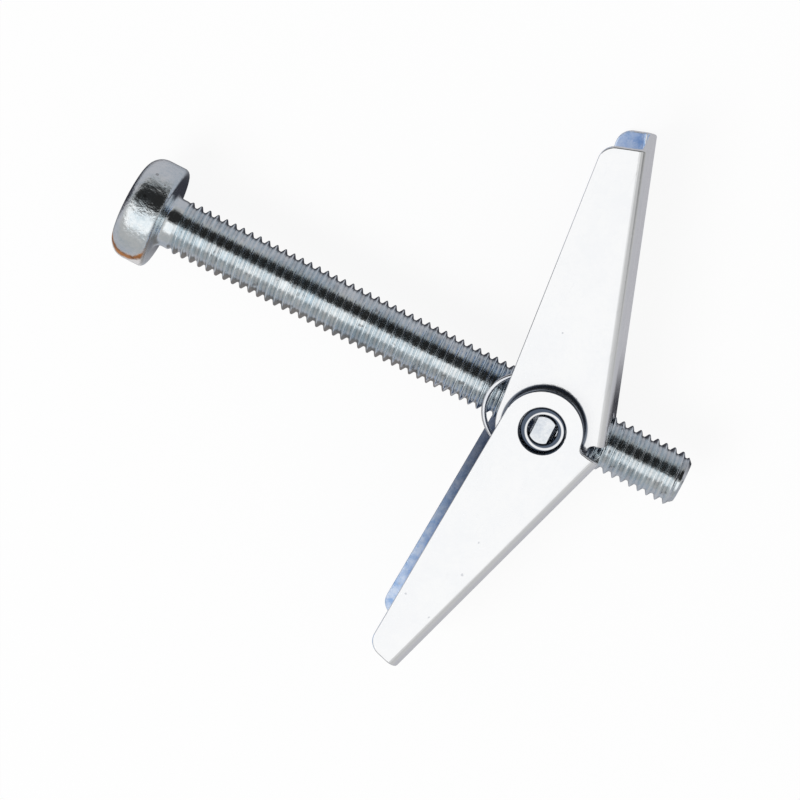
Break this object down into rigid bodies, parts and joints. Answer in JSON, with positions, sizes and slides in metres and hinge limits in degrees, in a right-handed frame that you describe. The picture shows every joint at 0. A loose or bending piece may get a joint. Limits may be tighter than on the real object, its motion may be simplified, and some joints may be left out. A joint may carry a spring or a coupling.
{
  "type": "spring toggle bolt",
  "caption": "Pan-head machine screw in a trunnion nut with folding channel wings that a torsion spring opens behind a hollow wall to clamp a fixture.",
  "frame": {"origin": "middle of the screw's length, on the surface that the bolt lies on", "axes": "+X along the screw from head to tip, +Y towards the left wing, +Z along the wings' pivot, up from the surface"},
  "size_m": [0.0656, 0.0613, 0.0146],
  "materials": {
    "screw_zinc": "bright zinc plating with a rust stain on the head",
    "nut_zinc": "zinc plating",
    "spring_wire": "bright drawn wire",
    "wing_zinc": "bright zinc plating on pressed sheet"
  },
  "bodies": {
    "screw": {"machine_screw": "screw_zinc"},
    "toggle": {"trunnion_nut": "nut_zinc", "torsion_spring": "spring_wire"},
    "left_wing": {"left_wing": "wing_zinc"},
    "right_wing": {"right_wing": "wing_zinc"}
  },
  "joints": [
    {"name": "toggle_travel", "type": "slide", "parent": "screw", "child": "toggle", "axis": [1, 0, 0], "range_m": [-0.0129, 0.013]},
    {"name": "left_wing_fold", "type": "hinge", "parent": "toggle", "child": "left_wing", "pos_m": [0.0172, 0, 0.00729], "axis": [0, 0, 1], "range_deg": [0, 73], "stiffness_Nm_per_rad": 0.01, "springref_deg": -28.65, "deforming": ["torsion_spring"]},
    {"name": "right_wing_fold", "type": "hinge", "parent": "toggle", "child": "right_wing", "pos_m": [0.0172, 0, 0.00729], "axis": [0, 0, -1], "range_deg": [0, 74.8], "stiffness_Nm_per_rad": 0.01, "springref_deg": -28.65, "deforming": ["torsion_spring"]}
  ]
}
